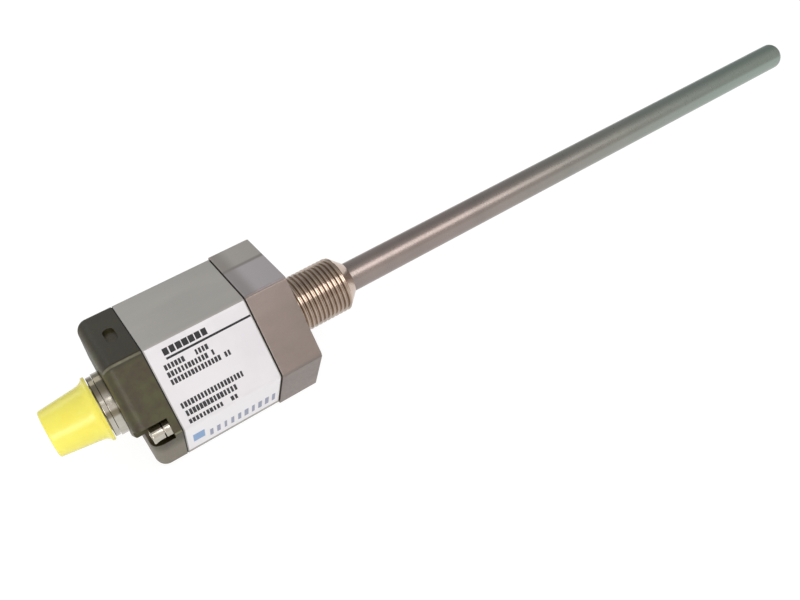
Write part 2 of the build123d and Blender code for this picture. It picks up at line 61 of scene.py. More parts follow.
# %% [markdown]
# ## The camera
# The photograph was taken from above the connector's end, about 28 cm away. The pose below was
# found by matching the hexagon's corners and the rod in the picture, so it is written as three
# directions and a place, in the sensor's own frame. A camera object has no such directions to
# fill in, but its matrix has: the first column points right, the second up, the third back.

# %% Camera
CAMERA_PLACE_MM = (-65.27, -205.83, 175.96)
CAMERA_RIGHT = Vector((0.81825, -0.55942, -0.13237))
CAMERA_DOWN = Vector((-0.45042, -0.48081, -0.75229))
CAMERA_FORWARD = Vector((0.3572, 0.67518, -0.6454))
FOCAL_PX = 846.1
PICTURE_WIDTH_PX = 800
SENSOR_WIDTH_MM = 36.0
NEAR_CLIP_M = 0.01
FAR_CLIP_M = 50.0

camera_data = bpy.data.cameras.new("photo_camera")
camera_data.sensor_fit = "HORIZONTAL"
camera_data.sensor_width = SENSOR_WIDTH_MM
camera_data.lens = FOCAL_PX * SENSOR_WIDTH_MM / PICTURE_WIDTH_PX
camera_data.clip_start = NEAR_CLIP_M
camera_data.clip_end = FAR_CLIP_M
camera = bpy.data.objects.new("photo_camera", camera_data)
turn = Matrix((CAMERA_RIGHT, -CAMERA_DOWN, -CAMERA_FORWARD)).transposed()
camera.matrix_world = Matrix.Translation(Vector(CAMERA_PLACE_MM) * MM) @ turn.to_4x4()
bpy.context.scene.collection.objects.link(camera)
bpy.context.scene.camera = camera
bpy.context.scene.view_settings.view_transform = "Standard"
print("lens:", round(camera_data.lens, 2), "mm")

# %% [markdown]
# ## Small helpers for shader and geometry trees
# Both kinds of tree are made of nodes that are wired by their sockets. The first helper makes
# a node, fills its sockets with numbers or links, and gives it back. The second is a shorthand
# for the Math node, which turns a formula into nodes. The others wrap the few nodes that this
# lesson needs again and again.

# %% Helpers for any tree
def add(tree, kind, inputs=None, **settings):
    """A new node with its settings and input sockets filled."""
    made = tree.nodes.new(kind)
    for name, value in settings.items():
        setattr(made, name, value)
    for key, value in (inputs or {}).items():
        socket = made.inputs[key]
        if isinstance(value, bpy.types.NodeSocket):
            tree.links.new(value, socket)
        else:
            socket.default_value = value
    return made


def calc(tree, operation, first, second=0.0, third=0.0):
    """One step of a formula."""
    made = add(tree, "ShaderNodeMath", {0: first, 1: second, 2: third}, operation=operation)
    return made.outputs[0]


def product(tree, first, *others):
    """Several values multiplied."""
    for other in others:
        first = calc(tree, "MULTIPLY", first, other)
    return first


def remap(tree, value, span, first=0.0, last=1.0, kind="LINEAR"):
    """Goes from first to last while the value crosses the span, and is held beyond it."""
    inputs = {0: value, 1: span[0], 2: span[1], 3: first, 4: last}
    return add(tree, "ShaderNodeMapRange", inputs, interpolation_type=kind).outputs[0]


def fade(tree, value, span, first=0.0, last=1.0):
    """The same with a soft start and a soft end."""
    return remap(tree, value, span, first, last, kind="SMOOTHSTEP")


def xyz(tree, vector):
    """The parts of a vector, as sockets named X, Y and Z."""
    return add(tree, "ShaderNodeSeparateXYZ", {0: vector}).outputs


def vector_of(tree, x, y=0.0, z=0.0):
    """One vector from three parts."""
    return add(tree, "ShaderNodeCombineXYZ", {0: x, 1: y, 2: z}).outputs[0]


print("helpers for trees ready")

# %% [markdown]
# ## Colours
# A colour picked from a picture is coded for the screen, while a shader counts light. The same
# grey is 155 of 255 on the screen but only a third of the light of white. So each colour in
# this lesson is written as on the screen and turned to light in one place. Two more helpers
# mix colours and plain values.

# %% Helpers for colours
SCREEN_TOP = 255


def linear(red, green, blue):
    """A colour as seen on screen, 0 to 255, turned to the linear values that shaders use."""
    def light(value):
        share = value / SCREEN_TOP
        return share / 12.92 if share <= 0.04045 else ((share + 0.055) / 1.055) ** 2.4
    return (light(red), light(green), light(blue), 1.0)


def blend_colour(tree, factor, first, second):
    """The first colour where the factor is 0, the second where it is 1."""
    inputs = {0: factor, 6: first, 7: second}
    return add(tree, "ShaderNodeMix", inputs, data_type="RGBA").outputs[2]


def blend_value(tree, factor, first, second):
    """The same for plain values."""
    inputs = {0: factor, 2: first, 3: second}
    return add(tree, "ShaderNodeMix", inputs, data_type="FLOAT").outputs[0]


def empty_tree(owner):
    """The shader tree of a material or a world, with nothing in it yet."""
    owner.use_nodes = True
    owner.node_tree.nodes.clear()
    return owner.node_tree


def kinds_of_ray(tree):
    """1 for rays that come from the camera, and 1 for rays that metal reflects."""
    path = add(tree, "ShaderNodeLightPath").outputs
    seen = calc(tree, "MAXIMUM", path["Is Camera Ray"], path["Is Transmission Ray"])
    return seen, path["Is Glossy Ray"]


print("a mid grey in linear light:", round(linear(155, 155, 150)[0], 3))

# %% [markdown]
# ## Floor
# The photograph was cut out on pure white. A large pale floor lies under the flat that the
# head rests on. A plain grey floor would stay grey in the picture. So for the camera and for
# shiny metal it is mixed with a white glow, and only a soft shadow is left of it.

# %% Floor
FLOOR_Z_MM = -23.0
FLOOR_HALF_MM = 6000.0
FLOOR_PAINT = (0.86, 0.86, 0.86, 1)
WHITE = (1, 1, 1, 1)
FLOOR_WHITE_SHARE = 0.80
FLOOR_WHITE_GLOW = 1.13
FLOOR_MIRRORED_GLOW = 1.0

half = FLOOR_HALF_MM * MM
level = FLOOR_Z_MM * MM
corners = [(-half, -half, level), (half, -half, level), (half, half, level), (-half, half, level)]
floor_mesh = bpy.data.meshes.new("floor")
floor_mesh.from_pydata(corners, [], [(0, 1, 2, 3)])
floor = bpy.data.objects.new("floor", floor_mesh)
bpy.context.scene.collection.objects.link(floor)
floor_paint = bpy.data.materials.new("pale_floor")
tree = empty_tree(floor_paint)
seen, mirrored = kinds_of_ray(tree)
matt = add(tree, "ShaderNodeBsdfDiffuse", {"Color": FLOOR_PAINT})
glow_tone = remap(tree, mirrored, (0.0, 1.0), FLOOR_WHITE_GLOW, FLOOR_MIRRORED_GLOW)
glow = add(tree, "ShaderNodeEmission", {"Color": WHITE, "Strength": glow_tone})
share = calc(tree, "MULTIPLY", calc(tree, "MAXIMUM", seen, mirrored), FLOOR_WHITE_SHARE)
mixed = add(tree, "ShaderNodeMixShader", {0: share, 1: matt.outputs[0], 2: glow.outputs[0]})
add(tree, "ShaderNodeOutputMaterial", {"Surface": mixed.outputs[0]})
floor_mesh.materials.append(floor_paint)
print("floor at", FLOOR_Z_MM, "mm, under the hexagon's flat")

# %% [markdown]
# ## World
# The world is white to the camera and a soft grey fill to matt surfaces. Metal shows the white
# too, but a little darker overhead, behind the sensor and where the rod points, because steel
# in a world of one even white looks flat. Its near half is a little warm and its far half a
# little cool, as in the photograph. A picture of a real room could do this as well, but a few
# fades of the direction are easier to tune and need no file.

# %% World
WORLD_FILL = 0.56
ROOM_TONE = 0.85
CEILING_SHARE = 0.8
CEILING_SPAN = (0.35, 0.95)
FAR_END_SHARE = 0.66
FAR_END_SPAN = (0.25, 0.80)
FAR_SIDE_SHARE = 0.68
FAR_SIDE_SPAN = (-0.3, 0.4)
TINT_SPAN = (-0.5, 0.5)
WARM_TINT = (1.0, 0.95, 0.92, 1)
COOL_TINT = (0.95, 0.98, 1.0, 1)

world = bpy.data.worlds.new("soft_room")
bpy.context.scene.world = world
tree = empty_tree(world)
seen, mirrored = kinds_of_ray(tree)
way = xyz(tree, add(tree, "ShaderNodeTexCoord").outputs["Generated"])
overhead = fade(tree, way["Z"], CEILING_SPAN, 1.0, CEILING_SHARE)
far_end = fade(tree, way["X"], FAR_END_SPAN, 1.0, FAR_END_SHARE)
behind = fade(tree, way["Y"], FAR_SIDE_SPAN, 1.0, FAR_SIDE_SHARE)
room = product(tree, overhead, far_end, behind, ROOM_TONE)
strength = blend_value(tree, mirrored, WORLD_FILL, room)
strength = blend_value(tree, seen, strength, 1.0)
far_side = calc(tree, "MULTIPLY", remap(tree, way["Y"], TINT_SPAN), mirrored)
near_side = calc(tree, "SUBTRACT", mirrored, far_side)
tint = blend_colour(tree, far_side, WHITE, COOL_TINT)
tint = blend_colour(tree, near_side, tint, WARM_TINT)
sky = add(tree, "ShaderNodeBackground", {"Color": tint, "Strength": strength})
add(tree, "ShaderNodeOutputWorld", {"Surface": sky.outputs[0]})
print("world nodes:", len(tree.nodes))

# %% [markdown]
# ## Lamps
# One broad soft lamp stands low behind the camera, and lights the label side more than the
# top. A ceiling lamp draws the bright streak along the rod and on the thread. A weak one on
# the far side keeps the faces behind readable. Area lamps are used, because a streak on metal
# is the lamp's own mirror image, and a point would leave only a thin line.

# %% Lamps
LAMPS = [
    # name, place, aim and size in mm, then watts and tint
    ("key_lamp", (-420, -720, 270), (0, 0, 0), (500, 350), 2.5, (1.0, 0.985, 0.97)),
    ("ceiling_lamp", (260, -500, 575), (100, 0, 0), (560, 380), 1.5, (1, 1, 1)),
    ("far_lamp", (-200, 600, 500), (0, 0, 0), (500, 350), 0.6, (1, 1, 1)),
]


def soft_lamp(name, place_mm, aim_mm, size_mm, watts, tint):
    """An area lamp that looks at a point."""
    data = bpy.data.lights.new(name, "AREA")
    data.shape = "RECTANGLE"
    data.size = size_mm[0] * MM
    data.size_y = size_mm[1] * MM
    data.energy = watts
    data.color = tint
    lamp = bpy.data.objects.new(name, data)
    lamp.location = Vector(place_mm) * MM
    aim = (Vector(aim_mm) - Vector(place_mm)).normalized()
    lamp.rotation_euler = aim.to_track_quat("-Z", "Y").to_euler()
    bpy.context.scene.collection.objects.link(lamp)


for lamp_values in LAMPS:
    soft_lamp(*lamp_values)

# %% [markdown]
# ## Finishes
# Each finish starts from one recipe: a base colour that drifts a little between two tones,
# roughness that varies with a second noise, and a fine bump. All patterns read Object
# coordinates, so they stay on the piece when it moves. Sizes are given in millimetres. For
# drawn, turned or extruded metal a pattern can be stretched: a number under 1 makes it longer
# in that direction. Painted light, shade and reflections are laid over the base colour
# afterwards, each by its own share from 0 to 1.

# %% The base recipe for a finish
DRIFT_SPAN = (0.35, 0.65)
GRAIN_SPAN = (0.3, 0.7)
DRIFT_DETAIL = 4.0
GRAIN_DETAIL = 5.0


def finish(name, tone, other_tone, metallic=0.0, rough=(0.4, 0.5), drift_mm=8.0, grain_mm=0.4,
           stretch=(1, 1, 1), bump=0.1, bump_mm=0.02, **extra):
    """A material with drifting colour, varied roughness and a fine grain, sizes in mm."""
    material = bpy.data.materials.new(name)
    tree = empty_tree(material)
    spot = add(tree, "ShaderNodeTexCoord").outputs["Object"]
    per_mm = [share / MM for share in stretch]
    spot_mm = add(tree, "ShaderNodeMapping", {"Vector": spot, "Scale": per_mm}).outputs[0]
    drift = add(tree, "ShaderNodeTexNoise", {
        "Vector": spot_mm, "Scale": 1 / drift_mm, "Detail": DRIFT_DETAIL}).outputs["Fac"]
    grain = add(tree, "ShaderNodeTexNoise", {
        "Vector": spot_mm, "Scale": 1 / grain_mm, "Detail": GRAIN_DETAIL}).outputs["Fac"]
    drift_share = remap(tree, drift, DRIFT_SPAN)
    colour = blend_colour(tree, drift_share, linear(*tone), linear(*other_tone))
    roughness = remap(tree, grain, GRAIN_SPAN, rough[0], rough[1])
    bumped = add(tree, "ShaderNodeBump", {
        "Strength": bump, "Distance": bump_mm * MM, "Height": grain})
    surface = add(tree, "ShaderNodeBsdfPrincipled", {
        "Base Color": colour, "Metallic": metallic, "Roughness": roughness,
        "Normal": bumped.outputs[0]})
    for key, value in extra.items():
        surface.inputs[key.replace("_", " ")].default_value = value
    add(tree, "ShaderNodeOutputMaterial", {"Surface": surface.outputs[0]})
    return SimpleNamespace(material=material, tree=tree, spot_mm=spot_mm, colour=colour,
                           drift=drift_share, surface=surface)


def layer(made, share, colour):
    """Lay a colour over the finish's colour so far, by a share from 0 to 1."""
    made.colour = blend_colour(made.tree, share, made.colour, colour)
    made.tree.links.new(made.colour, made.surface.inputs["Base Color"])


def from_axis_mm(made):
    """How far a spot lies from the rod's axis."""
    place = xyz(made.tree, made.spot_mm)
    across = calc(made.tree, "MULTIPLY", place["Y"], place["Y"])
    return calc(made.tree, "SQRT", calc(made.tree, "MULTIPLY_ADD", place["Z"], place["Z"], across))


def from_top_deg(made):
    """How far round the axis a spot lies from the top, 0 to 180 degrees on either side."""
    place = xyz(made.tree, made.spot_mm)
    sideways = calc(made.tree, "ABSOLUTE", place["Y"])
    return calc(made.tree, "DEGREES", calc(made.tree, "ARCTAN2", sideways, place["Z"]))


print("recipe ready")

# %% [markdown]
# ## The flange's steel
# The flange is cut from hexagon bar, so its grain is stretched along the bar. Its upper flat
# is painted brighter than the others, as painted light. A soft dark line of painted reflection
# runs along the middle of it, and the half behind the line is painted duller, as a painted
# reflection. Both halves darken towards the housing, as painted shade. A fade over height picks
# out the upper flat, so no second material is needed for it.

# %% Flange steel
FLANGE_STRETCH = 0.5
LIT_TOP_SPAN_MM = (22.5, 22.95)
DULL_REFLECTION_SPAN_MM = (0.6, 2.6)
SHADED_END_SPAN_MM = (-12.0, -8.0)
REFLECTION_LINE_Y_MM = 2.1
REFLECTION_LINE_SPAN_MM = (0.2, 1.1)
REFLECTION_LINE_SHARE = 0.8

steel = finish(
    "machined_steel", (147, 135, 129), (138, 128, 122), metallic=1.0, rough=(0.36, 0.50),
    drift_mm=9.0, grain_mm=0.5, stretch=(FLANGE_STRETCH, 1, 1), bump=0.2, bump_mm=0.008)
tree = steel.tree
place = xyz(tree, steel.spot_mm)
# Painted shade: both halves of the upper flat darken towards the housing.
shaded_span = [station * FLANGE_STRETCH for station in SHADED_END_SPAN_MM]
shaded = fade(tree, place["X"], shaded_span, 1.0, 0.0)
# Painted light on the upper flat; the back half is painted duller, as a painted reflection.
lit_front_half = blend_colour(tree, shaded, linear(196, 188, 189), linear(168, 162, 160))
dulled_back_half = blend_colour(tree, shaded, linear(189, 183, 177), linear(166, 159, 152))
painted_top_light = blend_colour(tree, fade(tree, place["Y"], DULL_REFLECTION_SPAN_MM), lit_front_half, dulled_back_half)
# A soft dark line of painted reflection along the middle of the upper flat.
from_reflection_line = calc(tree, "ABSOLUTE", calc(tree, "SUBTRACT", place["Y"], REFLECTION_LINE_Y_MM))
reflection_line_share = fade(tree, from_reflection_line, REFLECTION_LINE_SPAN_MM, REFLECTION_LINE_SHARE, 0.0)
painted_top_light = blend_colour(tree, reflection_line_share, painted_top_light, linear(150, 143, 139))
# The painted light, shade and reflection cover the upper flat only.
layer(steel, fade(tree, place["Z"], LIT_TOP_SPAN_MM), painted_top_light)
flange_steel = steel.material
print("flange steel nodes:", len(tree.nodes))

# %% [markdown]
# ## The thread's and the rod's steel
# The thread is brighter than the flange, with painted shade at its roots. A root is known by
# its distance from the axis. The cone in front of the thread is paler, as in the photograph: a
# painted highlight. The rod is ground tube with fine marks that run round it, so its grain is
# long across the rod and short along it. Towards the tip its warm grey turns a little green, as
# a painted reflection.

# %% Thread steel and rod steel
ROOT_SHADE_SPAN_MM = (8.8, 9.45)
ROOT_SHADE_SHARE = 0.2
ROOT_SHADE_END_SPAN_MM = (20.6, 21.4)
CONE_HIGHLIGHT_SPAN_MM = (20.8, 21.6)
TIP_REFLECTION_SPAN_MM = (50.0, 230.0)

steel = finish(
    "thread_steel", (190, 173, 158), (172, 155, 141), metallic=1.0, rough=(0.13, 0.22),
    drift_mm=5.0, grain_mm=0.3, bump=0.1, bump_mm=0.01)
station = xyz(steel.tree, steel.spot_mm)["X"]
# Painted shade in the thread's roots, known by their distance from the axis.
in_root = fade(steel.tree, from_axis_mm(steel), ROOT_SHADE_SPAN_MM, 1.0, 0.0)
on_thread = remap(steel.tree, station, ROOT_SHADE_END_SPAN_MM, ROOT_SHADE_SHARE, 0.0)
layer(steel, calc(steel.tree, "MULTIPLY", in_root, on_thread), linear(120, 98, 82))
# Painted highlight: the cone in front of the thread is paler.
layer(steel, fade(steel.tree, station, CONE_HIGHLIGHT_SPAN_MM), linear(208, 188, 174))
thread_steel = steel.material

steel = finish(
    "ground_steel", (160, 147, 142), (150, 139, 134), metallic=1.0, rough=(0.26, 0.38),
    drift_mm=14.0, grain_mm=0.25, stretch=(1, 0.15, 0.15), bump=0.2, bump_mm=0.006)
station = xyz(steel.tree, steel.spot_mm)["X"]
# Painted reflection: the rod turns a little green towards its tip.
layer(steel, fade(steel.tree, station, TIP_REFLECTION_SPAN_MM), linear(152, 164, 156))
rod_steel = steel.material
print("steel finishes:", flange_steel.name, thread_steel.name, rod_steel.name)

# %% [markdown]
# ## The housing's aluminium and the cap's coat
# The housing is blasted and anodised, so it is matt with a very fine grain. The end cap is a
# coated casting: darker, mottled and a little like orange peel. Its top is painted darkest, as
# painted shade, and its low faces paler, as painted light from below. Thin patchy painted
# highlights run along the hexagon's corners. A corner comes every 60 degrees, so a value that
# bounces between 0 and 30 degrees tells how far the next corner is.

# %% Aluminium and coated casting
CORNER_HALF_STEP_DEG = 30.0
CORNER_HIGHLIGHT_SPAN_DEG = (0.4, 1.3)
CORNER_HIGHLIGHT_SHARE = 0.8
CORNER_HIGHLIGHT_FROM_AXIS_SPAN_MM = (22.5, 24.0)
LEAST_CORNER_HIGHLIGHT_SHARE = 0.55
LIT_BELOW_SPAN_MM = (-4.0, -11.0)
LIT_BELOW_SHARE = 0.72
SHADED_TOP_SPAN_MM = (20.5, 22.3)
SHADED_TOP_SHARE = 0.85

anodised = finish(
    "anodised_aluminium", (177, 174, 168), (169, 166, 161), metallic=0.35, rough=(0.50, 0.60),
    drift_mm=11.0, grain_mm=0.12, stretch=(0.25, 1, 1), bump=0.25, bump_mm=0.008).material

coat = finish(
    "coated_casting", (70, 68, 36), (61, 51, 32), metallic=0.1, rough=(0.42, 0.56),
    drift_mm=3.5, grain_mm=0.45, bump=0.35, bump_mm=0.03)
tree = coat.tree
height = xyz(tree, coat.spot_mm)["Z"]
# Painted shade darkens the cap's top.
shaded_top_share = product(tree, fade(tree, height, SHADED_TOP_SPAN_MM), SHADED_TOP_SHARE)
# Painted light from below makes the cap's low faces paler.
lit_below_share = product(tree, fade(tree, height, LIT_BELOW_SPAN_MM), LIT_BELOW_SHARE)
# Painted highlights in thin patchy lines along the hexagon's corners.
shifted = calc(tree, "ADD", from_top_deg(coat), CORNER_HALF_STEP_DEG)
from_corner = calc(tree, "PINGPONG", shifted, CORNER_HALF_STEP_DEG)
corner_highlight = fade(tree, from_corner, CORNER_HIGHLIGHT_SPAN_DEG, CORNER_HIGHLIGHT_SHARE, 0.0)
outside = fade(tree, from_axis_mm(coat), CORNER_HIGHLIGHT_FROM_AXIS_SPAN_MM)
patchy = remap(tree, coat.drift, (0.0, 1.0), LEAST_CORNER_HIGHLIGHT_SHARE, 1.0)
# Lay on the painted shade of the top, the painted light below and the painted corner highlights.
layer(coat, shaded_top_share, linear(38, 32, 14))
layer(coat, lit_below_share, linear(131, 122, 106))
layer(coat, product(tree, corner_highlight, outside, patchy), linear(142, 138, 116))
cast_coat = coat.material
print("coat nodes:", len(tree.nodes))

# %% [markdown]
# ## The label's film and the nickel plate
# The label is a smooth white film. On the lower of its two faces it is painted paler, as
# painted light from below: a fade over height lifts its tone there. The connector and the
# screws are nickel-plated. The connector carries painted reflections: dark brown above, and in
# one narrow band beside the bright streak. Both painted reflections depend only on the angle
# round the axis. The screws lie outside those angles and stay bright, so one finish does for all.

# %% Label film and nickel plate
LIT_LOWER_FACE_SPAN_MM = (0.5, -1.5)
DARK_REFLECTION_TOP_SPAN_DEG = (26.0, 40.0)
DARK_REFLECTION_BAND_DEG = 68.0
DARK_REFLECTION_BAND_SPAN_DEG = (3.0, 9.0)
DARK_REFLECTION_SHARE = 0.85

film = finish(
    "label_film", (226, 222, 224), (220, 216, 219), rough=(0.30, 0.40), drift_mm=12.0,
    grain_mm=1.2, bump=0.05, bump_mm=0.01, Coat_Weight=0.15)
height = xyz(film.tree, film.spot_mm)["Z"]
# Painted light: the label's lower face is lifted paler.
layer(film, fade(film.tree, height, LIT_LOWER_FACE_SPAN_MM), linear(243, 240, 242))
label_film = film.material

plate = finish(
    "nickel_plate", (200, 195, 184), (188, 183, 170), metallic=1.0, rough=(0.10, 0.18),
    drift_mm=3.0, grain_mm=0.2, bump=0.08, bump_mm=0.005)
tree = plate.tree
from_top = from_top_deg(plate)
# Painted reflections on the connector: dark above, and one narrow dark band beside the streak.
dark_reflection_above = fade(tree, from_top, DARK_REFLECTION_TOP_SPAN_DEG, DARK_REFLECTION_SHARE, 0.0)
from_dark_reflection_band = calc(tree, "ABSOLUTE", calc(tree, "SUBTRACT", from_top, DARK_REFLECTION_BAND_DEG))
dark_reflection_band = fade(tree, from_dark_reflection_band, DARK_REFLECTION_BAND_SPAN_DEG, DARK_REFLECTION_SHARE, 0.0)
layer(plate, calc(tree, "MAXIMUM", dark_reflection_above, dark_reflection_band), linear(126, 117, 96))
nickel = plate.material
print("made:", label_film.name, nickel.name)

# %% [markdown]
# ## Rubber, plastics and inner metals
# The seals are matt black rubber. The dust cap is soft polyethylene, which lets some light
# into its skin, so its shader scatters a little light under the surface. The pieces inside
# the head can't be seen, but whoever opens the model finds them in plain finishes.

# %% Rubber, plastics and inner metals
SKIN_DEPTH_BY_COLOUR = (1.0, 0.8, 0.25)

rubber = finish(
    "black_rubber", (30, 29, 28), (22, 21, 21), rough=(0.6, 0.75), drift_mm=3.0, grain_mm=0.2,
    bump=0.3, bump_mm=0.01).material
yellow = finish(
    "yellow_plastic", (254, 243, 110), (254, 237, 98), rough=(0.20, 0.28), drift_mm=7.0,
    grain_mm=0.6, bump=0.08, bump_mm=0.01, Subsurface_Weight=0.2, Subsurface_Scale=0.002,
    Subsurface_Radius=SKIN_DEPTH_BY_COLOUR).material
white_plastic = finish(
    "white_plastic", (226, 224, 216), (216, 213, 205), rough=(0.40, 0.5), drift_mm=4.0).material
black_plastic = finish(
    "black_plastic", (34, 34, 36), (26, 26, 28), rough=(0.40, 0.5), drift_mm=4.0).material
board_green = finish(
    "board_green", (28, 92, 58), (22, 78, 48), rough=(0.28, 0.36), drift_mm=2.0).material
copper = finish(
    "copper_wire", (205, 120, 78), (180, 98, 62), metallic=1.0, rough=(0.25, 0.35),
    drift_mm=2.0).material
gold = finish(
    "gold_flash", (226, 190, 104), (212, 172, 88), metallic=1.0, rough=(0.2, 0.3),
    drift_mm=2.0).material
tin = finish(
    "tinned", (196, 196, 194), (180, 180, 178), metallic=1.0, rough=(0.3, 0.4),
    drift_mm=2.0).material
print("materials:", len(bpy.data.materials))

# %% [markdown]
# ## Put the finishes on the CAD pieces
# The CAD pieces that keep their shape only change what their material slots hold. The record
# says which slot each node has, and this table says which finish stands for it.

# %% Dress the CAD nodes
FINISH_OF_SLOT = {
    "flange_steel": flange_steel, "rod_steel": rod_steel, "nickel_iron": tin,
    "plated_screw": nickel, "nickel_plate": nickel, "brass_block": gold, "copper": copper,
    "tinned_pin": tin, "gold_pin": gold, "anodised_aluminium": anodised,
    "dark_cast_metal": cast_coat, "black_rubber": rubber, "white_plastic": white_plastic,
    "black_plastic": black_plastic, "board_green": board_green, "label_film": label_film,
    "yellow_plastic": yellow,
}
slot_of = {entry["node"]: entry["material_slot"] for entry in subparts}
for node, slot_name in slot_of.items():
    materials = nodes[node].data.materials
    materials.clear()
    materials.append(FINISH_OF_SLOT[slot_name])
print("dressed", len(slot_of), "nodes")

# %% [markdown]
# ## Eased edges
# A machined or cast edge is never a perfect line: a small round on it catches the light. A
# bevel needs two faces that share an edge, and the faces of the CAD's mesh only touch. So the
# copies below first join the triangles into clean faces, and then bevel only the edges that
# are truly sharp.

# %% A copy with eased edges
SHARP_DEG = 35
FLAT_DEG = 0.5
WELD_MM = 0.002
CUT_TOLERANCE_MM = 0.001
ROUND_SEGMENTS = 2
ROUND_PROFILE = 0.5


def open_edges(work):
    """How many edges of a bmesh don't lie between exactly two faces."""
    return sum(1 for edge in work.edges if not edge.is_manifold)


def cut_at(work, station_mm, keep_beyond):
    """Cut a bmesh at a station along X, and close the opening with a flat ring."""
    bmesh.ops.bisect_plane(
        work, geom=work.verts[:] + work.edges[:] + work.faces[:], dist=CUT_TOLERANCE_MM * MM,
        plane_co=(station_mm * MM, 0, 0), plane_no=(1, 0, 0),
        clear_outer=not keep_beyond, clear_inner=keep_beyond)
    bmesh.ops.bridge_loops(work, edges=[edge for edge in work.edges if edge.is_boundary])
    bmesh.ops.recalc_face_normals(work, faces=work.faces)


def eased_copy(node, width_mm, cut_mm=None, keep_beyond=False):
    """The CAD node's mesh as a bmesh, cut if a station is given, with its sharp edges eased."""
    work = bmesh.new()
    work.from_mesh(nodes[node].data)
    bmesh.ops.remove_doubles(work, verts=work.verts, dist=WELD_MM * MM)
    if cut_mm is not None:
        cut_at(work, cut_mm, keep_beyond)
    bmesh.ops.dissolve_limit(
        work, angle_limit=radians(FLAT_DEG), verts=work.verts, edges=work.edges)
    print(node, "open edges:", open_edges(work))
    sharp = [edge for edge in work.edges
             if edge.is_manifold and edge.calc_face_angle() > radians(SHARP_DEG)]
    bmesh.ops.bevel(
        work, geom=sharp, offset=width_mm * MM, offset_type="OFFSET", segments=ROUND_SEGMENTS,
        profile=ROUND_PROFILE, affect="EDGES", clamp_overlap=True)
    return work


print("edges over", SHARP_DEG, "degrees count as sharp")

# %% [markdown]
# ## Even shading over rounds and flats
# Smooth shading alone bends the light far into a large flat face that ends in a small round.
# So each corner of a face gets the mean direction of its neighbours, weighed by their area.
# The large face then stays flat and the small round takes the turn.

# %% Shading, and a piece from a bmesh
SMOOTH_DEG = 47


def even_normals(mesh):
    """Smooth the mesh so that large flat faces stay flat and the small rounds take the turn."""
    limit = cos(radians(SMOOTH_DEG))
    around = [[] for _ in mesh.vertices]
    for face in mesh.polygons:
        for corner in face.vertices:
            around[corner].append(face)
    normals = []
    for face in mesh.polygons:
        for corner in face.vertices:
            near = [other for other in around[corner] if other.normal.dot(face.normal) > limit]
            mean = sum((other.normal * other.area for other in near), Vector())
            normals.append(mean.normalized())
    mesh.shade_smooth()
    mesh.normals_split_custom_set(normals)


def place_on(mesh, name, body):
    """An object that shows the mesh and rides on its body."""
    made = bpy.data.objects.new(name, mesh)
    bpy.context.scene.collection.objects.link(made)
    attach(made, body)
    return made


def piece_from(work, name, material, body):
    """A finished object from a bmesh, riding on its body."""
    mesh = bpy.data.meshes.new(name)
    work.to_mesh(mesh)
    work.free()
    mesh.materials.append(material)
    even_normals(mesh)
    return place_on(mesh, name, body)


print("faces within", SMOOTH_DEG, "degrees are shaded as one")

# %% [markdown]
# ## Growing a mesh with Geometry Nodes
# What follows a rule is grown by a tree of geometry nodes. A tree has named inputs, as a
# function has, so the same tree can print a row of small marks or one long rule. It runs as a
# modifier on an empty mesh. The result is kept as a plain mesh, and the modifier goes.

# %% Helpers for Geometry Nodes
def named_inputs(tree, kinds):
    """Give a tree its geometry output and its inputs, and return the inputs' sockets."""
    face = tree.interface
    face.new_socket("Geometry", in_out="OUTPUT", socket_type="NodeSocketGeometry")
    for name, kind in kinds.items():
        face.new_socket(name, in_out="INPUT", socket_type="NodeSocket" + kind)
    return add(tree, "NodeGroupInput").outputs


def give_out(tree, geometry, material):
    """End a tree: make its instances real, paint them and give them out."""
    real = add(tree, "GeometryNodeRealizeInstances", {"Geometry": geometry})
    painted = add(tree, "GeometryNodeSetMaterial", {
        "Geometry": real.outputs[0], "Material": material})
    add(tree, "NodeGroupOutput", {"Geometry": painted.outputs[0]})


def grown_mesh(name, tree, values):
    """Run a tree with named inputs and keep its result as a plain mesh."""
    start = bpy.data.objects.new(name + "_start", bpy.data.meshes.new(name + "_start"))
    bpy.context.scene.collection.objects.link(start)
    run = start.modifiers.new("tree", "NODES")
    run.node_group = tree
    for item in tree.interface.items_tree:
        if item.in_out == "INPUT" and item.name in values:
            run[item.identifier] = values[item.name]
    bpy.context.view_layer.update()
    ready = start.evaluated_get(bpy.context.evaluated_depsgraph_get())
    mesh = bpy.data.meshes.new_from_object(ready)
    mesh.name = name
    start.modifiers.remove(run)
    bpy.data.objects.remove(start)
    return mesh


print("helpers for Geometry Nodes ready")

# %% [markdown]
# ## The form of a screw thread
# A thread follows one rule: walk round the stem once, and the ridge has moved along by one
# pitch. A flat grid is bent into a tube whose rows follow that helix, and each point's radius
# comes from where it lies between two ridges. Crest and root are flat and the flanks are
# straight. The whole is kept inside a cone at the nose, and starts with a relief groove. A
# ridge swept along a spiral would run on over the groove and stand out of the cone. Here all
# three are one surface, so it stays closed.

# %% Where the points go, and how far out
ROWS_PER_PITCH = 12
SIDES = 96
FLANK_SPAN = (0.18, 0.64)
RELIEF_SLOPE = 0.9


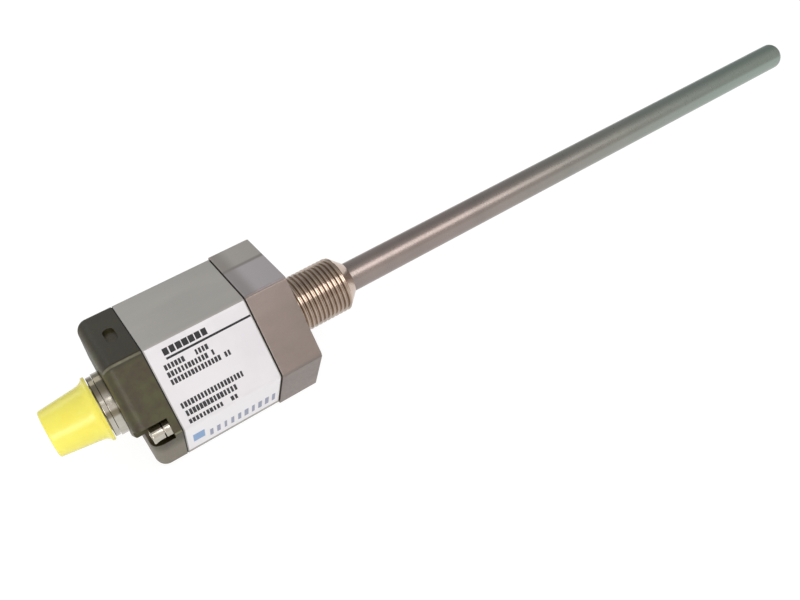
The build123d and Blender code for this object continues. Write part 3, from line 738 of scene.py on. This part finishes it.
def tube_places(tree, given, rows):
    """For each point of the grid its station, its share of a turn, and whether it is in the bore."""
    place = xyz(tree, add(tree, "GeometryNodeInputPosition").outputs[0])
    row = calc(tree, "ADD", place["X"], (rows - 1) / 2)
    turn_share = calc(tree, "ADD", place["Y"], 0.5)
    steps = calc(tree, "DIVIDE", calc(tree, "SUBTRACT", row, 1.0), ROWS_PER_PITCH)
    helix = calc(tree, "ADD", calc(tree, "SUBTRACT", steps, 1.0), turn_share)
    free = calc(tree, "MULTIPLY", helix, given["Pitch"])
    station = calc(tree, "MINIMUM", calc(tree, "MAXIMUM", free, 0.0), given["Length"])
    first = calc(tree, "LESS_THAN", row, 0.5)
    last = calc(tree, "GREATER_THAN", row, rows - 1.5)
    last_two = calc(tree, "GREATER_THAN", row, rows - 2.5)
    at_base = calc(tree, "MAXIMUM", first, last)
    station = calc(tree, "MULTIPLY", station, calc(tree, "SUBTRACT", 1.0, at_base))
    return station, turn_share, calc(tree, "MAXIMUM", first, last_two)


def ridged_radius(tree, given, station, turn_share, relief_mm):
    """The radius over the helix, inside the relief groove and the cone."""
    phase = calc(tree, "SUBTRACT", calc(tree, "DIVIDE", station, given["Pitch"]), turn_share)
    ridge = calc(tree, "MULTIPLY", calc(tree, "PINGPONG", phase, 0.5), 2.0)
    rise = calc(tree, "MULTIPLY", remap(tree, ridge, FLANK_SPAN), given["Ridge"])
    root = calc(tree, "SUBTRACT", given["Crest radius"], given["Ridge"])
    threaded = calc(tree, "ADD", root, rise)
    past_relief = calc(tree, "SUBTRACT", station, relief_mm * MM)
    relief = calc(tree, "MULTIPLY_ADD", past_relief, RELIEF_SLOPE, root)
    relief = calc(tree, "MAXIMUM", relief, root)
    cone_share = calc(tree, "DIVIDE", calc(tree, "SUBTRACT", station, given["Cone start"]),
                      calc(tree, "SUBTRACT", given["Length"], given["Cone start"]))
    narrowing = calc(tree, "SUBTRACT", given["Nose radius"], given["Crest radius"])
    cone = calc(tree, "MULTIPLY_ADD", cone_share, narrowing, given["Crest radius"])
    return calc(tree, "MINIMUM", calc(tree, "MINIMUM", threaded, relief), cone)


print("a thread has", ROWS_PER_PITCH, "rows to a pitch and", SIDES, "sides")

# %% [markdown]
# ## The thread's tree
# The first and the last two rows of the grid lie in the bore, which closes the tube: out at
# the base, along the thread, in at the nose and back through the bore. The points that meet
# are joined, so the piece is closed like a real one and nothing can be seen through it.

# %% The thread as a Geometry Nodes tree
SPARE_PITCHES = 3
BORE_ROWS = 3
JOIN_MM = 0.003
RIDGE_SHARP_DEG = 38


def thread_tree(name, length_mm, pitch_mm, relief_mm):
    """A threaded tube along X, from 0 to its length."""
    tree = bpy.data.node_groups.new(name, "GeometryNodeTree")
    sizes = ("Pitch", "Crest radius", "Ridge", "Length", "Cone start", "Nose radius", "Bore radius")
    given = named_inputs(tree, {**{size: "Float" for size in sizes}, "Finish": "Material"})
    rows = (int(length_mm / pitch_mm) + SPARE_PITCHES) * ROWS_PER_PITCH + BORE_ROWS
    grid = add(tree, "GeometryNodeMeshGrid", {
        "Size X": float(rows - 1), "Size Y": 1.0, "Vertices X": rows, "Vertices Y": SIDES + 1})
    station, turn_share, in_bore = tube_places(tree, given, rows)
    outer = ridged_radius(tree, given, station, turn_share, relief_mm)
    outer_part = calc(tree, "MULTIPLY", outer, calc(tree, "SUBTRACT", 1.0, in_bore))
    bore_part = calc(tree, "MULTIPLY", given["Bore radius"], in_bore)
    radius = calc(tree, "ADD", outer_part, bore_part)
    angle = calc(tree, "MULTIPLY", turn_share, 2 * pi)
    sideways = calc(tree, "MULTIPLY", radius, calc(tree, "COSINE", angle))
    upwards = calc(tree, "MULTIPLY", radius, calc(tree, "SINE", angle))
    bent = add(tree, "GeometryNodeSetPosition", {
        "Geometry": grid.outputs["Mesh"], "Position": vector_of(tree, station, sideways, upwards)})
    closed = add(tree, "GeometryNodeMergeByDistance", {
        "Geometry": bent.outputs[0], "Distance": JOIN_MM * MM})
    give_out(tree, closed.outputs[0], given["Finish"])
    return tree


def crisp(made):
    """Turn a closed piece's faces outwards and shade it smooth between its sharp edges."""
    work = bmesh.new()
    work.from_mesh(made.data)
    bmesh.ops.remove_doubles(work, verts=work.verts, dist=JOIN_MM * MM)
    bmesh.ops.recalc_face_normals(work, faces=work.faces)
    if work.calc_volume(signed=True) < 0:
        bmesh.ops.reverse_faces(work, faces=work.faces)
    print(made.name, "faces:", len(work.faces), "open edges:", open_edges(work))
    work.to_mesh(made.data)
    work.free()
    made.data.shade_smooth()
    made.data.set_sharp_from_angle(angle=radians(RIDGE_SHARP_DEG))


print("thread tree ready")

# %% [markdown]
# ## The mounting thread
# The stem carries a 3/4 inch thread with 16 turns to the inch. On the CAD model it is a plain
# cylinder at the thread's outer size. The grown piece stands in its place, from the flange's
# face to the end of the cone, and the rod passes through its bore.

# %% Mounting thread
THREAD_D_MM = 19.05
PITCH_MM = 25.4 / 16
RIDGE_MM = 0.72
STEM_END_MM = 25.0
CONE_START_MM = 21.0
NOSE_R_MM = 5.7
BORE_R_MM = 5.12
RELIEF_LEN_MM = 1.7

stem_tree = thread_tree("mounting_thread", STEM_END_MM, PITCH_MM, RELIEF_LEN_MM)
thread_mesh = grown_mesh("mounting_thread", stem_tree, {
    "Pitch": PITCH_MM * MM, "Crest radius": THREAD_D_MM / 2 * MM, "Ridge": RIDGE_MM * MM,
    "Length": STEM_END_MM * MM, "Cone start": CONE_START_MM * MM, "Nose radius": NOSE_R_MM * MM,
    "Bore radius": BORE_R_MM * MM, "Finish": thread_steel})
thread = place_on(thread_mesh, "mounting_thread", "sensor")
crisp(thread)

# %% [markdown]
# ## The flange without its stem
# The CAD flange and its stem are one node. Its copy is cut at the mounting face, the opening
# is closed with a flat ring, and the threaded stem stands on it. Together they replace the
# node.

# %% Flange body
FACE_STATION_MM = 0.0
FLANGE_EASE_MM = 0.18

flange_work = eased_copy("hex_flange", FLANGE_EASE_MM, cut_mm=FACE_STATION_MM)
flange = piece_from(flange_work, "flange_body", flange_steel, "sensor")
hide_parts("hex_flange")
print("flange faces:", len(flange.data.polygons))

# %% [markdown]
# ## Eased copies of the cap, screws and connector
# The die-cast cap, the screw heads with their collars and the plated connector catch small
# lights on their edges, so they get eased copies too. The widths differ: a casting's edge is
# softer than a screw's. The connector's copy ends where its thread begins.

# %% Cap, screws and connector
PLUG_THREAD_START_MM = -62.7
EASE_MM = {"end_cap": 0.30, "cover_screws": 0.12, "screw_collars": 0.12,
           "connector_shell": 0.12, "connector_ring": 0.12}
CUT_MM = {"connector_shell": PLUG_THREAD_START_MM}

for node, width_mm in EASE_MM.items():
    slot_name = slot_of[node]
    work = eased_copy(node, width_mm, CUT_MM.get(node), keep_beyond=True)
    eased = piece_from(work, node + "_eased", FINISH_OF_SLOT[slot_name], "sensor")
    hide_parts(node)
    print(node, "faces:", len(eased.data.polygons))

# %% [markdown]
# ## The connector's thread
# Under the dust cap the connector has a fine thread, 16 mm across, for the ring of the cable
# plug. The function that built the first thread's tree builds this one too, with other sizes.
# The finished piece is turned half round, so that its chamfered nose points the other way,
# which keeps it a right-handed thread. A mirrored copy would have become left-handed.

# %% Connector thread
PLUG_THREAD_END_MM = -66.65
PLUG_THREAD_R_MM = 8.0
PLUG_PITCH_MM = 0.75
PLUG_RIDGE_MM = 0.40
PLUG_BORE_R_MM = 6.7
PLUG_RELIEF_MM = 0.2
PLUG_CHAMFER_MM = 0.4

plug_len_mm = PLUG_THREAD_START_MM - PLUG_THREAD_END_MM
plug_tree = thread_tree("plug_thread", plug_len_mm, PLUG_PITCH_MM, PLUG_RELIEF_MM)
plug_mesh = grown_mesh("plug_thread", plug_tree, {
    "Pitch": PLUG_PITCH_MM * MM, "Crest radius": PLUG_THREAD_R_MM * MM,
    "Ridge": PLUG_RIDGE_MM * MM, "Length": plug_len_mm * MM,
    "Cone start": (plug_len_mm - PLUG_CHAMFER_MM) * MM,
    "Nose radius": (PLUG_THREAD_R_MM - PLUG_CHAMFER_MM) * MM,
    "Bore radius": PLUG_BORE_R_MM * MM, "Finish": nickel})
to_place = Matrix.Translation((PLUG_THREAD_START_MM * MM, 0, 0))
plug_mesh.transform(to_place @ Matrix.Rotation(pi, 4, "Z"))
plug_thread = place_on(plug_mesh, "plug_thread", "sensor")
crisp(plug_thread)

# %% [markdown]
# ## The print on the label
# The real label carries lines of type. Here they are only fields of tone: rows of small plain
# marks, a long thin rule and one blue block. An image would be the usual way, but plain marks
# need no file and stay sharp close up. A row follows a rule, so it is a Geometry Nodes tree
# again: points along a line, some left out as gaps between words, and a thin plate of chance
# width on each. The tree then turns the row about the rod's axis on to its face.

# %% A row of printed marks
LABEL_FACE_MM = 22.62
INK_T_MM = 0.02
WIDTH_SEED_SHIFT = 7.0


def marks_on(tree, given, points):
    """A thin plate of chance width on each point."""
    size = vector_of(tree, given["Step"], given["Height"], INK_T_MM * MM)
    plate = add(tree, "GeometryNodeMeshCube", {"Size": size})
    width_seed = calc(tree, "ADD", given["Seed"], WIDTH_SEED_SHIFT)
    width = add(tree, "FunctionNodeRandomValue", {"Seed": width_seed}, data_type="FLOAT")
    for socket in width.inputs:
        if socket.name == "Min" and socket.type == "VALUE":
            tree.links.new(given["Narrowest"], socket)
        if socket.name == "Max" and socket.type == "VALUE":
            tree.links.new(given["Widest"], socket)
    return add(tree, "GeometryNodeInstanceOnPoints", {
        "Points": points, "Instance": plate.outputs["Mesh"],
        "Scale": vector_of(tree, width.outputs["Value"], 1.0, 1.0)}).outputs[0]


def row_tree():
    """One row of marks, turned about the rod's axis."""
    tree = bpy.data.node_groups.new("row_of_marks", "GeometryNodeTree")
    given = named_inputs(tree, {
        "Marks": "Int", "Seed": "Int", "Step": "Float", "Height": "Float", "Narrowest": "Float",
        "Widest": "Float", "Gap chance": "Float", "Turn": "Float", "Start": "Vector",
        "Ink": "Material"})
    line = add(tree, "GeometryNodeMeshLine", {
        "Count": given["Marks"], "Start Location": given["Start"],
        "Offset": vector_of(tree, given["Step"])}, mode="OFFSET")
    chance = add(tree, "FunctionNodeRandomValue", {"Seed": given["Seed"]}, data_type="FLOAT")
    is_gap = add(tree, "FunctionNodeCompare", {
        0: chance.outputs["Value"], 1: given["Gap chance"]},
        data_type="FLOAT", operation="LESS_THAN")
    kept = add(tree, "GeometryNodeDeleteGeometry", {
        "Geometry": line.outputs["Mesh"], "Selection": is_gap.outputs["Result"]})
    turned = add(tree, "GeometryNodeTransform", {
        "Geometry": marks_on(tree, given, kept.outputs[0]),
        "Rotation": vector_of(tree, given["Turn"])})
    give_out(tree, turned.outputs[0], given["Ink"])
    return tree


marks_tree = row_tree()
print("row tree nodes:", len(marks_tree.nodes))

# %% [markdown]
# ## The inks
# The type is black or dark grey. Below it stand one block of light blue and a row of pale
# blue-grey bars. Each ink is a plain finish of one tone.

# %% Inks
INK_TONES = {"black": (24, 22, 26), "grey": (40, 38, 42), "blue": (122, 160, 205),
             "pale": (142, 148, 170)}
inks = {}
for ink, tone in INK_TONES.items():
    inks[ink] = finish(
        ink + "_ink", tone, tone, rough=(0.35, 0.45), drift_mm=4.0, bump=0.02).material
print("inks:", list(inks))

# %% [markdown]
# ## The label's layout
# Each line of the table is one row: where it starts and ends along the rod, how far down the
# face its middle lies, how tall it is, how far apart the marks are, how wide they may be as a
# share of that, and how often one is left out. The upper face looks up and to the camera, the
# lower one looks down to the table. The rows end up as one thin piece that rides on the head.

# %% Lay out the label
FACE_TURN = {"upper": radians(60), "lower": radians(120)}
FIRST_SEED = 11
INK_SINK_SHARE = 1 / 4
ROWS = [
    # face, from x, to x, down the face, height, step, narrowest, widest, gap chance, ink
    ("upper", -41.7, -27.7, -9.8, 2.10, 2.00, 0.76, 0.92, 0.00, "black"),
    ("upper", -41.4, -14.5, -7.8, 0.66, 26.9, 1.00, 1.00, 0.00, "black"),
    ("upper", -43.2, -28.3, -5.6, 1.65, 1.06, 0.55, 0.84, 0.08, "grey"),
    ("upper", -43.3, -28.0, -3.3, 1.65, 1.06, 0.55, 0.84, 0.16, "grey"),
    ("upper", -43.4, -24.6, -1.0, 1.65, 1.06, 0.55, 0.84, 0.10, "grey"),
    ("upper", -44.0, -23.6, 6.4, 1.75, 1.06, 0.55, 0.84, 0.06, "grey"),
    ("upper", -43.7, -25.8, 9.0, 1.75, 1.10, 0.60, 0.90, 0.05, "grey"),
    ("upper", -43.9, -33.4, 11.5, 1.35, 1.10, 0.55, 0.84, 0.00, "grey"),
    ("upper", -30.5, -28.0, 11.5, 1.35, 1.20, 0.60, 0.84, 0.00, "grey"),
    ("lower", -44.2, -40.0, -0.5, 7.0, 4.2, 0.90, 0.90, 0.00, "blue"),
    ("lower", -39.2, -15.2, 2.8, 6.2, 2.4, 0.32, 0.58, 0.00, "pale"),
]

ink_level_mm = LABEL_FACE_MM + INK_T_MM * INK_SINK_SHARE
printed = bmesh.new()
for number, (face, x0, x1, down, height, step, narrow, wide, gaps, ink) in enumerate(ROWS):
    row_mesh = grown_mesh("row", marks_tree, {
        "Marks": max(1, round((x1 - x0) / step)), "Seed": FIRST_SEED + number,
        "Step": step * MM, "Height": height * MM, "Narrowest": narrow, "Widest": wide,
        "Gap chance": gaps, "Turn": FACE_TURN[face], "Ink": inks[ink],
        "Start": ((x0 + step / 2) * MM, -down * MM, ink_level_mm * MM)})
    faces_before = len(printed.faces)
    printed.from_mesh(row_mesh)
    printed.faces.ensure_lookup_table()
    for mark_face in printed.faces[faces_before:]:
        mark_face.material_index = list(inks).index(ink)

print_mesh = bpy.data.meshes.new("label_print")
printed.to_mesh(print_mesh)
printed.free()
for ink_material in inks.values():
    print_mesh.materials.append(ink_material)
label_print = place_on(print_mesh, "label_print", "sensor")
print("faces of the print:", len(print_mesh.polygons))
